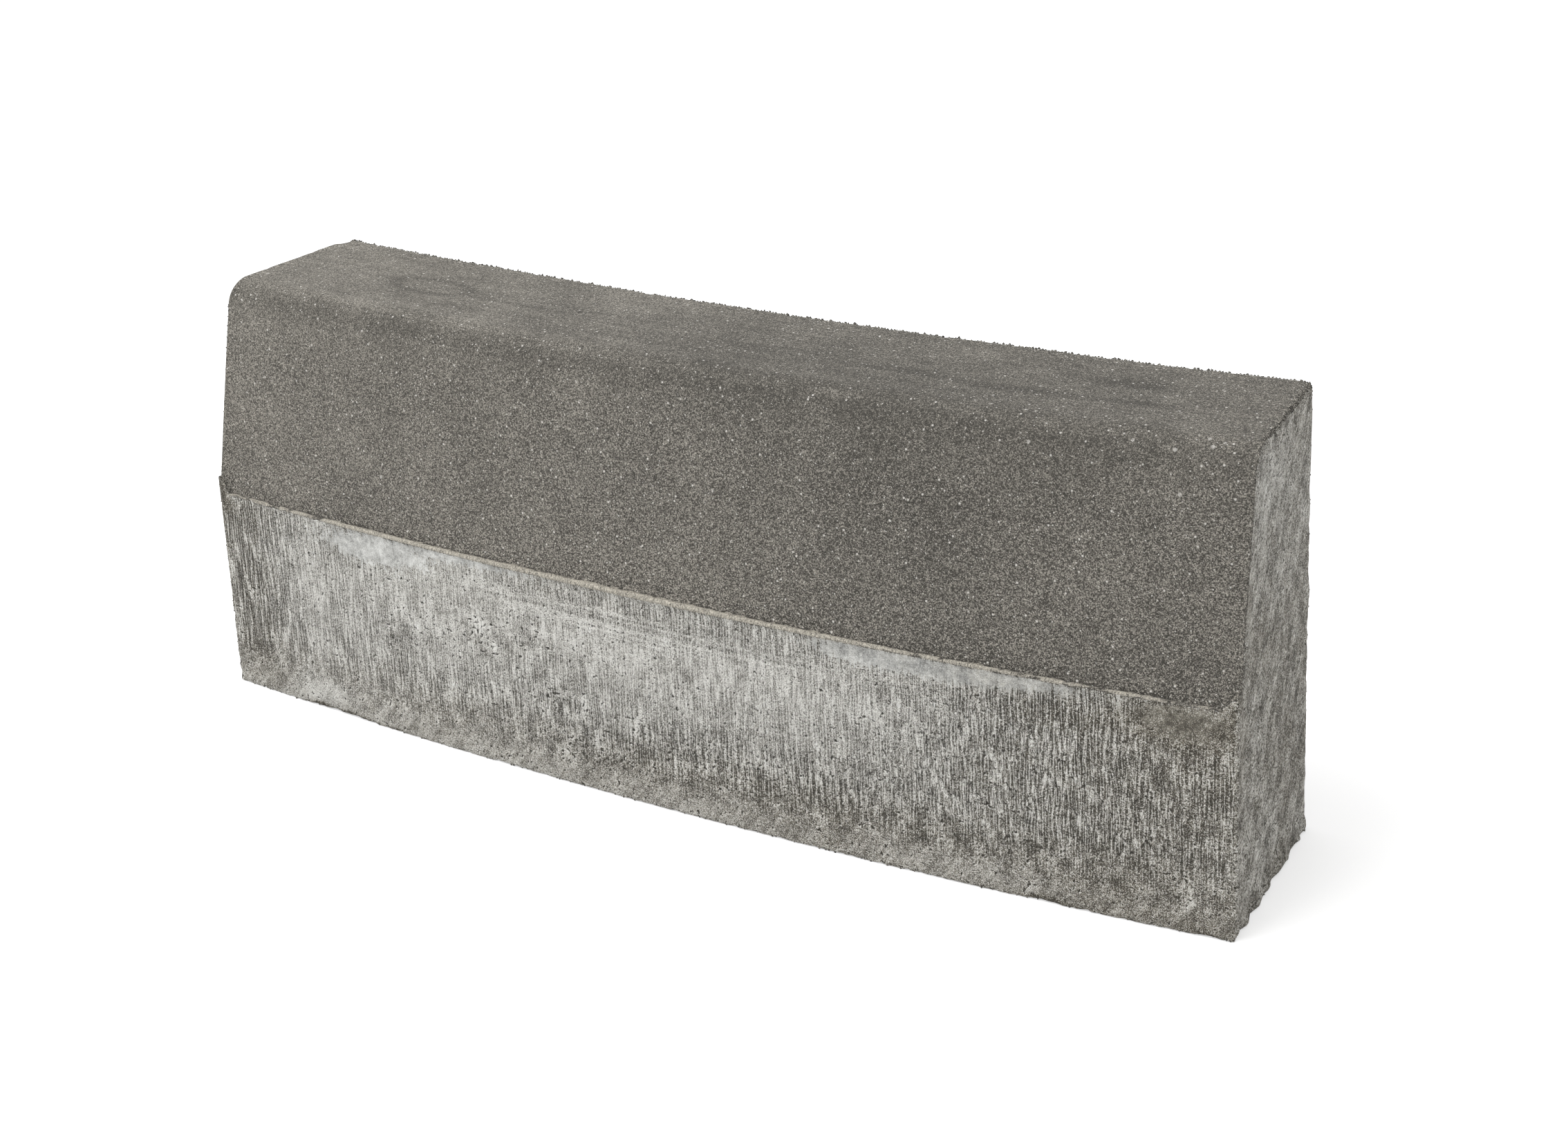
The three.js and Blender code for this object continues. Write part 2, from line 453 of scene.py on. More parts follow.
def bed_face(colours):
    """The underside, left as it came off the pallet."""
    g = Graph(bpy.data.materials.new("bed"))
    place = g.attribute("stone", "Vector")
    grain = g.noise(place, 2.6, 4.0, 0.7)
    clouds = g.noise(place, 40, 3.0)
    holes = g.spots(place, 11, 2.0, 0.5)
    mottled = (0.55 + grain * 0.9) * (0.8 + clouds * 0.4)
    # The holes are painted near-black: painted shade inside them
    tint = g.shaded(g.mix(holes * 0.8, colours.bed, colours.pore_shade), mottled)
    return g.concrete(tint, 0.95, grain * 0.9 - holes * 1.2)


# Shape ---------------------------------

# How far apart the surface's points lie, in millimetres
STATION_GAP = (0.45, 2.3)  # along the stone: at the ends, and between
FOOT_GAP = (0.8, 1.9)
LEANING_GAP = (0.8, 4.5)
TOP_GAP = (1.2, 2.7)
BACK_GAP = (1.2, 14.0)
BED_GAP = (1.0, 15.0)
END_GAP = (1.2, 3.2)
LEDGE_GAP = (0.6, 0.9)
ARRIS_STEPS = 3
NOSE_STEPS = 10
GAP_GROWTH = 1.28

LEDGE_NARROWING = 0.6  # share of the ledge's depth that is lost by the top of its turn-up
INSET_SHARE = 0.96  # of an arris, at the ends, so that no corner closes to a point

PRESSED, STRIPPED, BED = range(3)


def spread(whole, gap):
    """Places from 0 to 1, closer together at both ends. Gap holds the least and the most, on that length."""
    least, most = (g * MM for g in gap)
    steps = []
    step = least
    while 2 * (sum(steps) + step) < whole:
        steps.append(step)
        step = min(step * GAP_GROWTH, most)
    places = np.concatenate([[0.0], np.cumsum(steps + steps[::-1])])
    return places / places[-1]


def straight(start, end, places):
    """Points from start to end, without the last."""
    start, end = np.asarray(start), np.asarray(end)
    return start + (end - start) * places[:-1, None]


def arc(centre, radius, start, end, steps):
    """Points of an arc, in degrees, without the last."""
    a = np.radians(np.linspace(start, end, steps + 1)[:-1])
    return np.asarray(centre) + radius * np.stack([np.cos(a), np.sin(a)], 1)


class Section:
    """The closed outline of a cut square to the bend, as (depth, height) points, and each step's finish."""

    def __init__(self, sizes):
        self.sizes = sizes
        self.lean = math.atan2(
            sizes.height - sizes.foot_height, sizes.foot_width - sizes.top_width - sizes.ledge_depth
        )
        self.nose = (
            sizes.foot_width - sizes.top_width + sizes.nose_radius * math.tan(self.lean / 2),
            sizes.height - sizes.nose_radius,
        )
        self.foot = spread(sizes.foot_height, FOOT_GAP)
        self.ledge = spread(sizes.ledge_depth, LEDGE_GAP)
        self.leaning = spread(sizes.height - sizes.foot_height, LEANING_GAP)
        self.top = spread(sizes.top_width, TOP_GAP)
        self.back = spread(sizes.height, BACK_GAP)
        self.bed = spread(sizes.foot_width, BED_GAP)

    def outline(self, rise):
        """The outline where the ledge lies that much above its usual height, and the finish of each step."""
        z, r = self.sizes, self.sizes.arris
        wide, high, back = z.foot_width, z.height, z.back_arris
        ledge = z.foot_height + rise
        narrowed = z.ledge_depth * (1 - LEDGE_NARROWING * rise / z.ledge_turn_up)
        face = narrowed + rise / math.tan(self.lean)
        lean = math.degrees(self.lean)
        nose_start = arc(self.nose, z.nose_radius, lean + 90, 90, 1)[0]
        stretches = [
            (STRIPPED, arc((r, r), r, 270, 180, ARRIS_STEPS)),
            (STRIPPED, straight((0, r), (0, ledge - r), self.foot)),
            (PRESSED, arc((r, ledge - r), r, 180, 90, ARRIS_STEPS)),
            (PRESSED, straight((r, ledge), (face, ledge), self.ledge)),
            (PRESSED, straight((face, ledge), nose_start, self.leaning)),
            (PRESSED, arc(self.nose, z.nose_radius, lean + 90, 90, NOSE_STEPS)),
            (PRESSED, straight((self.nose[0], high), (wide - back, high), self.top)),
            (STRIPPED, arc((wide - back, high - back), back, 90, 0, ARRIS_STEPS)),
            (STRIPPED, straight((wide, high - back), (wide, r), self.back)),
            (STRIPPED, arc((wide - r, r), r, 0, -90, ARRIS_STEPS)),
            (BED, straight((wide - r, 0), (r, 0), self.bed)),
        ]
        points = np.concatenate([p for _, p in stretches])
        finishes = np.concatenate([np.full(len(p), f) for f, p in stretches])
        return points, finishes


def inward(points):
    """Unit vectors that point into a closed outline drawn clockwise."""
    ahead = np.roll(points, -1, 0) - np.roll(points, 1, 0)
    ahead /= np.linalg.norm(ahead, axis=1)[:, None]
    return np.stack([ahead[:, 1], -ahead[:, 0]], 1)


def end_faces(outline):
    """The points inside an end's outline, and the triangles that join both."""
    low, high = outline.min(0), outline.max(0)
    front = outline[: outline[:, 1].argmax() + 1]
    back_depth = high[0]
    rows = low[1] + spread(high[1] - low[1], END_GAP)[1:-1] * (high[1] - low[1])
    inside = []
    for row in rows:
        start = np.interp(row, front[:, 1], front[:, 0])
        places = spread(back_depth - start, END_GAP)[1:-1]
        inside += [(start + p * (back_depth - start), row) for p in places]
    count = len(outline)
    edges = [(i, (i + 1) % count) for i in range(count)]
    points = [Vector(p) for p in outline.tolist() + inside]
    _, _, triangles, origins, _, _ = delaunay_2d_cdt(points, edges, [], 1, 1e-9)
    first = [o[0] for o in origins]
    return np.array(inside), [[first[i] for i in t] for t in triangles]


def ideal_stone(sizes):
    """The stone with every edge rounded but no wear, in its own straight coordinates."""
    section = Section(sizes)
    half = sizes.front_length / 2
    stations = (spread(sizes.front_length, STATION_GAP) * 2 - 1) * half
    rings = []
    for along in stations:
        from_end = half - abs(along)
        points, finishes = section.outline(max(0.0, sizes.ledge_turn_up - from_end))
        short = max(0.0, sizes.arris - from_end)
        inset = INSET_SHARE * (sizes.arris - math.sqrt(sizes.arris**2 - short**2))
        points = points + inward(points) * inset
        rings.append(np.column_stack([np.full(len(points), along), points]))
    count = len(rings[0])
    vertices = [np.concatenate(rings)]
    faces = []
    slots = []
    for j in range(len(stations) - 1):
        for i in range(count):
            a, b = j * count + i, j * count + (i + 1) % count
            faces.append((a, a + count, b + count, b))
            slots.append(finishes[i])
    total = len(vertices[0])
    for ring, along in ((0, -half), (len(stations) - 1, half)):
        inside, triangles = end_faces(rings[ring][:, 1:])
        vertices.append(np.column_stack([np.full(len(inside), along), inside]))
        for t in triangles:
            corner = [ring * count + i if i < count else total + i - count for i in t]
            faces.append(corner if along > 0 else corner[::-1])
            slots.append(STRIPPED)
        total += len(inside)
    return np.concatenate(vertices), faces, slots


def soft_noise(points, size, octaves=2, offset=0.0):
    """Noise from about -1 to 1 at each point, with features of that size in millimetres."""
    scaled = points / (size * MM) + offset
    return np.array([noise.fractal(Vector(p), 1.0, 2.0, octaves) for p in scaled])


def bump(along, height, spot):
    """A soft patch. Spot is its middle along and up, its half-length and half-height, all in millimetres."""
    middle, level, half_length, half_height = spot
    return np.exp(-(((along - middle) / half_length) ** 2) - ((height - level) / half_height) ** 2)


# Broad marks, as (along, height, half-length, half-height, strength). On the end, depth stands in for
# along, and on the top it stands in for height.
FOOT_PALE = [
    (-60, 112, 190, 40, 0.24),
    (-180, 135, 60, 12, 0.10),
    (-185, 115, 55, 35, 0.09),
    (-120, 60, 110, 30, 0.08),
    (-180, 90, 60, 30, 0.04),
    (120, 100, 90, 45, 0.22),
    (-302, 95, 12, 45, 0.22),
    (-290, 90, 50, 35, 0.07),
    (-242, 139, 42, 8, 0.07),
    (-180, 88, 55, 26, 0.08),
    (-25, 86, 75, 26, 0.06),
    (-375, 149, 2.5, 3, 0.60),
    (-300, 14, 26, 11, 0.38),
    (-350, 6, 40, 8, 0.05),
    (230, 10, 60, 9, 0.12),
]
FOOT_DARK_AND_SHADOW = [
    (-365, 80, 30, 90, 0.33),
    (-362, 138, 30, 16, 0.12),
    (-360, 6, 24, 8, 0.06),
    (-260, 7, 60, 9, 0.05),
    (345, 6, 34, 8, 0.07),
    (345, 32, 32, 18, 0.05),
    (-386, 150, 11, 14, 0.50),
    (372, 120, 42, 50, 0.20),
    (350, 134, 24, 8, 0.13),
    (356, 136, 34, 14, 0.08),
    (285, 128, 45, 9, 0.18),
    (60, 32, 150, 16, 0.16),
    (-25, 136, 90, 12, 0.17),
    (-180, 36, 90, 20, 0.12),
    (330, 75, 110, 85, 0.10),
    (255, 90, 70, 36, 0.06),
    (10, 48, 80, 12, 0.04),
    (-110, 130, 60, 14, 0.05),
    # Painted shadow: dark lines in the chips along the bed's front, and a thin one along the whole bottom
    # edge where it meets the floor
    (-307, 1, 9, 2.4, 1.9),
    (-277, 0.8, 16, 1.9, 1.8),
    (-236, 0.8, 9, 1.4, 0.8),
    (269, 1, 11, 2.2, 1.8),
    (371, 1.5, 4, 2.5, 1.6),
    (0, 0, 900, 0.9, 0.30),
    (352, 140, 34, 8, 0.10),
]
FOOT_SKIN = [
    (-238, 138, 50, 11, 1.3),
    (-150, 147, 60, 4, 0.9),
    (150, 145, 36, 9, 1.2),
    (215, 144, 40, 8, 1.2),
    (265, 146, 34, 5, 0.9),
    (356, 138, 36, 14, 0.9),
]
FOOT_POROUS = [
    (-150, 98, 34, 12, 0.7),
    (-100, 102, 14, 9, 0.8),
    (-220, 75, 20, 10, 0.7),
    (-85, 62, 20, 10, 0.9),
    (-40, 42, 130, 20, 0.5),
    (-170, 90, 120, 12, 0.4),
    (18, 96, 10, 8, 0.8),
    (35, 45, 30, 14, 0.9),
    (-55, 28, 34, 9, 0.9),
    (150, 40, 70, 18, 0.5),
    (250, 30, 60, 12, 0.4),
    (340, 60, 30, 30, 0.4),
    (-370, 80, 14, 14, 0.7),
]
END_SKIN = [
    (18, 205, 8, 34, 0.8),
    (48, 172, 20, 16, 0.5),
    (120, 278, 16, 12, 0.6),
    (45, 274, 22, 9, 0.6),
    (7, 122, 6, 34, 0.7),
]
END_PALE = [
    (50, 275, 26, 12, 0.10),
    (80, 250, 24, 34, 0.08),
    (80, 22, 90, 24, 0.07),
    (70, 250, 60, 40, 0.09),
    (60, 30, 50, 14, 0.05),
    (125, 22, 16, 18, 0.05),
]
END_DARK = [
    (128, 137, 7, 11, 0.22),
    (100, 82, 16, 6, 0.16),
    (125, 60, 11, 8, 0.16),
    (82, 120, 5, 4, 0.22),
    (40, 75, 16, 5, 0.14),
    (85, 100, 60, 60, 0.09),
    (75, 180, 90, 140, 0.03),
    (100, 18, 9, 6, 0.16),
    (75, 28, 24, 22, 0.13),
    (115, 235, 14, 9, 0.16),
]
FOOT_PLAIN = [
    (-385, 150, 11, 15, 1.0),
    (386, 152, 9, 12, 0.8),
    (358, 135, 34, 15, 1.3),
]
FOOT_SCALY = [
    (270, 75, 130, 60, 0.8),
    (20, 60, 130, 30, 0.35),
    (-370, 70, 30, 60, 0.15),
]
RUBBED = [
    (0, 128, 150, 10, 1.0),
    (-60, 118, 80, 14, 0.8),
]
FACE_PALE = [
    (-350, 235, 45, 60, 0.035),
    (20, 167, 90, 15, 0.14),
    (-60, 155, 200, 3, 0.05),
    (330, 235, 50, 45, 0.035),
    (-40, 153, 150, 2, 0.12),
]
FACE_DARK_AND_SHADE = [
    (-180, 225, 100, 80, 0.05),
    (0, 225, 70, 40, 0.06),
    (175, 245, 85, 50, 0.14),
    (175, 225, 85, 45, 0.02),
    (0, 168, 400, 20, 0.015),
    (-210, 163, 110, 12, 0.03),
    # Painted shade: thin dark lines along the foot of the leaning face, just above the bead
    (-270, 153.5, 120, 4, 0.16),
    (270, 153.5, 110, 4, 0.18),
    (0, 155.5, 160, 3, 0.15),
]
TOP_PALE = [
    (-330, 80, 36, 30, 0.10),
    (-285, 40, 60, 9, 0.10),
    (-165, 92, 16, 7, 0.10),
    (145, 74, 38, 2.6, 0.15),
    (200, 67, 38, 2.6, 0.13),
    (170, 55, 66, 16, 0.05),
    (318, 90, 9, 20, 0.16),
    (345, 60, 26, 20, 0.07),
    (-180, 100, 90, 26, 0.03),
    (120, 47, 90, 9, 0.05),
]
TOP_DARK = [
    (-205, 66, 34, 5, 0.16),
    (-155, 89, 48, 4, 0.22),
    (-170, 98, 46, 5, 0.12),
    (-60, 62, 60, 4, 0.08),
    (145, 81, 40, 3.5, 0.18),
    (205, 74, 42, 3.5, 0.16),
    (240, 78, 30, 4, 0.12),
    (288, 108, 34, 7, 0.34),
    (296, 79, 24, 5, 0.30),
    (60, 110, 60, 7, 0.08),
    (120, 74, 200, 40, 0.135),
    (30, 84, 60, 5, 0.08),
    (140, 32, 140, 18, 0.16),
    (-20, 34, 120, 16, 0.06),
]
TOP_RINGS = [(-249, 92, 34, 14, 0.22)]

# Bulges and losses along the right end's foot, as (depth, half-depth, reach)
BURRS = [
    (2, 15, -2.4),
    (30, 7, -2.6),
    (42, 9, 1.8),
    (55, 5, -1.2),
    (64, 6, 1.5),
    (79, 5, -1.2),
    (108, 22, 1.5),
    (141, 7, 1.2),
]
# Losses along the bed's front, as (along, half-length, depth)
CHIPS = [(-286, 28, 1.8), (265, 12, 1.6), (372, 7, 1.3), (-130, 14, 0.7)]

END_REACH = 2.5  # points this near an end, in millimetres, belong to it
FRONT_REACH = 3  # and points this near the front belong to the foot's front
ARRIS_FADE = 2.4  # how far in from an arris its wear fades
RIGHT_CORNER = 8 * MM  # radii of the back's top corners
LEFT_CORNER = 9 * MM
RUBBED_OFF = 0.7 * MM  # what the left end has lost towards the top of its front


def bell(x):
    """1 at 0, falling smoothly to nothing past 2 either way."""
    return np.exp(-(x**2))


def summed(marks, along, height):
    """The strength of all those marks together."""
    return sum(m[4] * bump(along, height, m[:4]) for m in marks)


def ring(along, depth, mark):
    """The soft outline of an oval, as a broad mark."""
    reach = np.hypot((along - mark[0]) / mark[2], (depth - mark[1]) / mark[3])
    return mark[4] * bell((reach - 1) / 0.2)


class Places:
    """Where each point lies on the stone, in millimetres, and how near it is to the edges."""

    def __init__(self, points, sizes):
        self.along, self.depth, self.height = (points / MM).T
        self.half, self.wide, self.high = (
            v / MM for v in (sizes.front_length / 2, sizes.foot_width, sizes.height)
        )
        self.from_end = self.half - np.abs(self.along)
        rise = np.maximum(0, sizes.ledge_turn_up / MM - self.from_end)
        self.ledge = sizes.foot_height / MM + rise
        self.from_front = np.where(self.height > self.ledge, 60, self.depth)
        self.from_back = self.wide - self.depth
        self.from_top = self.high - self.height
        self.from_face = self.depth - np.clip((self.height - self.ledge) * 0.18 + 3, 0, 40)

    def arris(self):
        """How far each point lies from the nearest arris."""
        sides = np.minimum(self.from_front, self.from_back)
        ends = np.hypot(self.from_end, np.minimum(sides, np.minimum(self.height, self.from_top)))
        bed = np.hypot(self.height, sides)
        back = np.hypot(self.from_top, self.from_back)
        return np.minimum(np.minimum(ends, bed), back)


def round_corner(points, sizes, side, radius):
    """Rounds the back's top corner at one end, fading towards the front."""
    x = points[:, 0] * side - (sizes.front_length / 2 - radius)
    z = points[:, 2] - (sizes.height - radius)
    reach = np.hypot(x, z)
    behind = np.clip((points[:, 1] - (sizes.foot_width - 16 * MM)) / (12 * MM), 0, 1)
    outside = (x > 0) & (z > 0) & (reach > radius)
    pull = np.where(outside, (1 - radius / np.maximum(reach, radius)) * behind, 0)
    points[:, 0] -= side * x * pull
    points[:, 2] -= z * pull


Zones = namedtuple("Zones", "pressed foot end")


def ledge_bead(at, points, seed):
    """How near each point is to the ledge, from 0 to 1, and how thick the bead is there."""
    middle = bell((at.along + 20) / 150)
    reach = 1 + 0.18 * middle
    near = np.exp(-(((at.height - at.ledge) / (1.8 * reach)) ** 2) - (at.depth / (3.2 * reach)) ** 2)
    thick = 0.40 + 0.84 * middle - 0.18 * np.clip((60 - at.from_end) / 40, 0, 1)
    thick = thick + 0.40 * soft_noise(points, 11, 3, seed + 31)
    thick = np.clip(thick + 0.25 * bell((at.along + 235) / 60), 0.04, 1.7)
    return near, thick


def porosity(at, zones, patch, near_arris):
    """How full of holes the stripped faces are, and how coarse the pressed ones, from 0 to 1."""
    porous = np.where(zones.foot, summed(FOOT_POROUS, at.along, at.height), 0.25 + 0.4 * patch)
    porous = porous + 0.35 * np.clip(patch - 0.1, 0, 1) + 0.2 * np.exp(-at.height / 30)
    coarse = 0.55 + 0.45 * np.exp(-np.abs(at.height - at.ledge) / 14)
    coarse = coarse - 0.42 * np.clip(1.15 - at.from_top / 42, 0, 1)
    coarse = coarse - 0.12 * np.clip(-at.along / 250, 0, 1)
    return np.clip(np.where(zones.pressed, coarse + 0.5 * near_arris, porous), 0, 1)


def arris_wear(at):
    """How worn each arris is, as a multiple of the usual loss."""
    wear = np.where((at.depth < 6) & (at.height > 12) & (at.from_top > 60), 0.3, 1.0)
    top_end = np.exp(-np.hypot(at.from_end, at.from_top) / 3)
    wear = np.where(at.along > 0, wear + top_end, wear - 0.8 * top_end)
    return wear + 0.7 * ((at.along > 380) & (at.from_back < 6))


def sideways(at, points, medium, wear, seed):
    """Burrs and flakes at the right end's foot. They move points along the stone only."""
    burred = sum(b[2] * bell((at.depth - b[0]) / b[1]) for b in BURRS)
    burred = burred * MM * np.clip((at.along - 380) / 8, 0, 1)
    burred = burred * bell(at.height / 12) * (1 + 0.5 * medium)
    right_foot = np.exp(-np.abs(at.half - at.along) / 3.0) * np.exp(-at.height / 8)
    flakes = np.clip(soft_noise(points, 15, 2, seed + 53) * 3.2 - 0.2, -0.7, 1.6)
    return burred + wear.flakes * right_foot * flakes


def tones(at, zones, patch):
    """How light the concrete is at each point, from 0 to 1."""
    foot = 0.58 - 0.06 * np.tanh(at.along / 200) + summed(FOOT_PALE, at.along, at.height)
    foot = foot - summed(FOOT_DARK_AND_SHADOW, at.along, at.height)
    foot = foot + 0.10 * patch - 0.08 * np.exp(-at.height / 60)
    foot = foot + 0.13 * np.exp(-at.height / 9) * (1 - at.along / 450)
    plain = 0.475 + 0.20 * patch + 0.08 * np.clip((at.height - 120) / 180, 0, 1)
    from_edge = np.maximum(np.minimum(at.from_face, at.from_top), 0)
    shade = 0.16 * np.exp(-from_edge / 5) * (at.height > 150)
    ends = plain + summed(END_PALE, at.depth, at.height) - summed(END_DARK, at.depth, at.height) - shade
    plain = np.where(zones.end, ends, plain)
    top = 0.425 + summed(TOP_PALE, at.along, at.depth) - summed(TOP_DARK, at.along, at.depth)
    top = top - sum(ring(at.along, at.depth, m) for m in TOP_RINGS)
    nose = bell((at.from_top - 8) / 7) * (at.depth < 55)
    leaning = 0.477 - 0.22 * nose * (1 - 0.4 * np.clip(at.along / 300, 0, 1))
    leaning += summed(FACE_PALE, at.along, at.height) - summed(FACE_DARK_AND_SHADE, at.along, at.height)
    head = np.where(at.from_top > 3, leaning, top) + 0.10 * patch - 0.05 * np.tanh(at.along / 150)
    return np.clip(np.where(zones.pressed, head, np.where(zones.foot, foot, plain)), 0, 1)


def streakiness(at, zones):
    """How far the film was drawn up in veins, from 0 to 1."""
    streaky = np.clip(at.height / 45 - 0.15, 0, 1)
    streaky = streaky * (0.92 - 0.22 * np.clip((at.along - 300) / 50, 0, 1))
    return streaky * ~zones.end * np.clip(1 - summed(FOOT_PLAIN, at.along, at.height), 0, 1)


def weathered(points, normals, sizes, wear, finishes):
    """Moves the ideal surface to the real one, and returns the marks that the finishes read."""
    at = Places(points, sizes)
    seed = wear.seed * 3.7
    slow = soft_noise(points, 130, 2, seed)
    medium = soft_noise(points, 9, 2, seed + 11)
    quick = soft_noise(points, 4.6, 2, seed + 23)
    patch = soft_noise(points, 45, 3, seed + 41)
    pressed = finishes == PRESSED
    at_end = at.from_end < END_REACH
    zones = Zones(pressed, ~pressed & (at.depth < FRONT_REACH) & ~at_end, ~pressed & at_end)
    near = np.exp(-at.arris() / ARRIS_FADE)
    at_ledge, thick = ledge_bead(at, points, seed)
    porous = porosity(at, zones, patch, near)
    bottom_front = np.exp(-np.hypot(at.height, at.depth) / 3.0)
    chipped = sum(c[2] * np.exp(-(((at.along - c[0]) / c[1]) ** 4)) for c in CHIPS) * bottom_front
    at_back = np.exp(-np.hypot(at.from_top, at.from_back) / 2.6)

    out = wear.swell * slow
    out += wear.lumps * medium * np.where(pressed, 0.4, 1.0)
    crumbled = 0.35 + np.maximum(0, medium) * 1.8 + 0.8 * np.maximum(0, quick)
    out -= wear.crumble * arris_wear(at) * near * crumbled
    out += wear.crumbs * at_back * (0.1 + 2.2 * quick + 1.2 * medium)
    out -= wear.pits * np.clip(quick * 2.2 + porous * 0.9 - 0.95, 0, 1) * ~pressed
    out += wear.bead * at_ledge * thick
    out -= chipped * MM * (0.8 + medium)
    # A lump on the back's right arris, level with the ledge
    out += 1.8 * MM * bump(at.from_back, at.height, (0, 160, 4, 8)) * (at.along > 386) * (0.6 + quick)
    moved = points + normals * out[:, None]
    moved[:, 0] += sideways(at, points, medium, wear, seed)
    round_corner(moved, sizes, 1, RIGHT_CORNER)
    round_corner(moved, sizes, -1, LEFT_CORNER)
    rubbed_off = np.exp(-at.from_end / 5) * np.clip((at.height - 170) / 110, 0, 1) * (at.along < 0)
    moved[:, 0] += RUBBED_OFF * rubbed_off * np.exp(-at.depth / 60)

    end_skin = summed(END_SKIN, at.depth, at.height)
    foot_skin = summed(FOOT_SKIN, at.along, at.height) * zones.foot
    marks = {
        "tone": tones(at, zones, patch),
        "skin": np.clip(np.where(zones.end, end_skin, foot_skin), 0, 1),
        "porous": porous,
        "streaky": streakiness(at, zones),
        "scaly": summed(FOOT_SCALY, at.along, at.height) * (at.depth < 3) + 0.4 * (at.depth > 100),
        "rubbed": np.clip(summed(RUBBED, at.along, at.height), 0, 1) * zones.foot,
        "arris": near,
        "bead": np.clip(at_ledge * (0.2 + thick), 0, 1),
    }
    return moved, marks


OCTAHEDRON = np.array([(1, 0, 0), (-1, 0, 0), (0, 1, 0), (0, -1, 0), (0, 0, 1), (0, 0, -1)], float)
OCTAHEDRON_FACES = [(0, 2, 4), (2, 1, 4), (1, 3, 4), (3, 0, 4), (2, 0, 5), (1, 2, 5), (3, 1, 5), (0, 3, 5)]


def grain_groups(at):
    """Where grains stand: which points, how many grains, and the least and most radius."""
    back = np.hypot(at.from_top, at.from_back) < 1.9
    top_right = (np.hypot(at.from_top, at.from_end) < 2.6) & (at.depth > 30) & (at.along > 0)
    rear = (np.hypot(at.from_back, at.from_end) < 2.6) & (at.height > 60) & (at.along > 0)
    left = (at.from_end < 1.2) & (at.along < 0) & (np.abs(at.from_face) < 2.5) & (at.height > 15)
    bed_edge = np.hypot(at.height, np.minimum(at.from_front, at.from_end)) < 1.6
    return (
        (back, 600, 0.6, 1.7),
        (top_right, 120, 0.6, 1.4),
        (rear, 40, 0.3, 0.8),
        (left, 80, 0.3, 0.9),
        (bed_edge & (at.along > -380), 110, 0.5, 1.2),
    )


def loose_grains(places, moved, sizes, wear):
    """Grains of sand, half out of the arrises. Ideal places choose where, and moved ones seat them."""
    random = np.random.default_rng(wear.seed)
    vertices = []
    faces = []
    for where, count, least, most in grain_groups(Places(places, sizes)):
        for middle in moved[random.choice(np.flatnonzero(where), count, replace=False)]:
            turn = np.array(Euler(random.uniform(0, 6, 3)).to_matrix())
            shape = OCTAHEDRON * random.uniform(0.6, 1.1, (6, 1)) @ turn
            faces += [tuple(i + 6 * len(vertices) for i in face) for face in OCTAHEDRON_FACES]
            vertices.append(middle + shape * random.uniform(least, most) * wear.crumbs)
    tone = np.repeat(random.uniform(0.1, 0.9, len(vertices)), 6)
    return np.concatenate(vertices), faces, {"tone": tone, "arris": 1.0, "porous": 0.8}


def bent(points, sizes):
    """Straight coordinates as places round the bend, in the frame of the CAD model."""
    half_angle = sizes.front_length / sizes.front_radius / 2
    back_radius = sizes.front_radius - sizes.foot_width
    depth = sizes.front_radius - back_radius * math.cos(half_angle)
    centre = sizes.front_radius - depth / 2
    angle = points[:, 0] / sizes.front_radius
    radius = sizes.front_radius - points[:, 1]
    return np.column_stack([radius * np.sin(angle), centre - radius * np.cos(angle), points[:, 2]])


def set_marks(mesh, places, marks):
    """Stores what the materials read: each point's own place in millimetres, and its marks."""
    layer = mesh.attributes.new("stone", "FLOAT_VECTOR", "POINT")
    layer.data.foreach_set("vector", (places / MM).astype(np.float32).ravel())
    for name, values in marks.items():
        layer = mesh.attributes.new(name, "FLOAT", "POINT")
        layer.data.foreach_set("value", values.astype(np.float32))


def point_normals(places, faces):
    """The normal at each point of those faces."""
    mesh = bpy.data.meshes.new("ideal stone")
    mesh.from_pydata(places.tolist(), [], faces)
    normals = np.zeros(len(places) * 3, np.float32)
    mesh.vertices.foreach_get("normal", normals)
    bpy.data.meshes.remove(mesh)
    return normals.reshape(-1, 3)


def kerb_mesh(sizes, wear):
    """The whole piece: the worn stone and its grains, bent, with what the materials read."""
    places, faces, slots = ideal_stone(sizes)
    finishes = np.zeros(len(places), int)
    for face, finish in zip(faces, slots):
        finishes[list(face)] = finish
    moved, marks = weathered(places, point_normals(places, faces), sizes, wear, finishes)
    moved[:, 2] = np.maximum(moved[:, 2], 0.0)

    grains, grain_faces, grain_marks = loose_grains(places, moved, sizes, wear)
    grains[:, 2] = np.maximum(grains[:, 2], 0.0)
    faces += [tuple(i + len(moved) for i in face) for face in grain_faces]
    slots += [PRESSED] * len(grain_faces)
    moved = np.concatenate([moved, grains])
    places = np.concatenate([places, grains])
    for name, values in marks.items():
        marks[name] = np.concatenate([values, np.full(len(grains), grain_marks.get(name, 0.0))])

    mesh = bpy.data.meshes.new("pressed_kerb")
    mesh.from_pydata(bent(moved, sizes).tolist(), [], faces)
    mesh.polygons.foreach_set("material_index", np.array(slots, np.int32))
    mesh.polygons.foreach_set("use_smooth", np.ones(len(faces), bool))
    set_marks(mesh, places, marks)
    mesh.update()
    return mesh


# Studio --------------------------------

FLOOR_SIZE = 40.0
FLOOR_DROP = 0.0002  # keeps the floor clear of the bed
BOUNCE_GREY = 0.62
LIT_GREY = 0.70
FLOOR_GLOW = 0.49  # with the lit grey, it comes to white outside the shadow
LAMP_PLACE = (-0.5, -1.0, 2.4)
LAMP_TARGET = (0, 0, 0.15)
LAMP_SIZE = 1.6
SENSOR_WIDTH = 36
FAR_CLIP = 100


